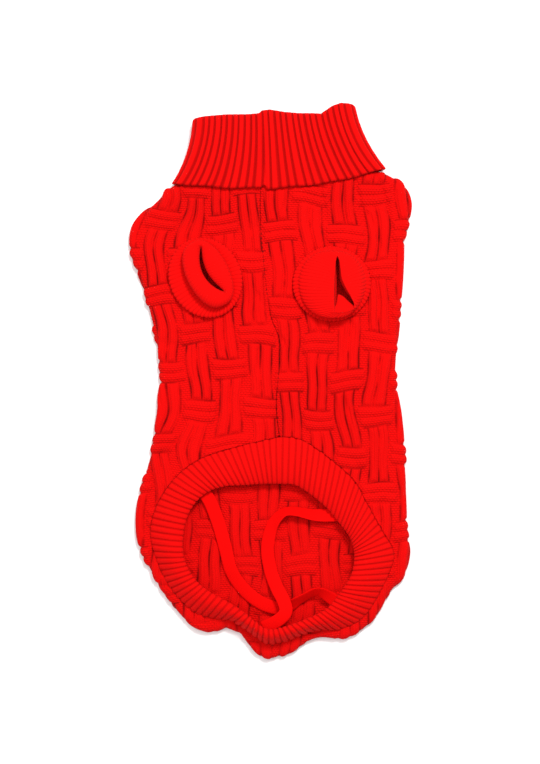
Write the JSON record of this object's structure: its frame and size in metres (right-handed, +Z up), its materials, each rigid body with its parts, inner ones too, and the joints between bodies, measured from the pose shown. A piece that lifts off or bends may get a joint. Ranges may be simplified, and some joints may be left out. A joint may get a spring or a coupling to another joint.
{
  "type": "dog sweater",
  "caption": "Red basket-weave knitted dog sweater lying flat, belly up, with a turned-down ribbed collar, leg sleeves, a drawn-in hem ring and elastic leg straps.",
  "frame": {"origin": "on the surface that the sweater lies on, under the middle of its box", "axes": "+Y from the tail to the collar, +X across the belly, +Z up out of the surface"},
  "size_m": [0.2157, 0.4205, 0.0232],
  "materials": {
    "red_knit": "soft matt acrylic knit",
    "red_elastic": "smooth flat elastic, low sheen"
  },
  "bodies": {
    "root": {"body": "red_knit", "collar": "red_knit", "hem_band": "red_knit", "sleeve_left": "red_knit", "sleeve_right": "red_knit", "strap_left": "red_elastic", "strap_right": "red_elastic"}
  },
  "joints": []
}
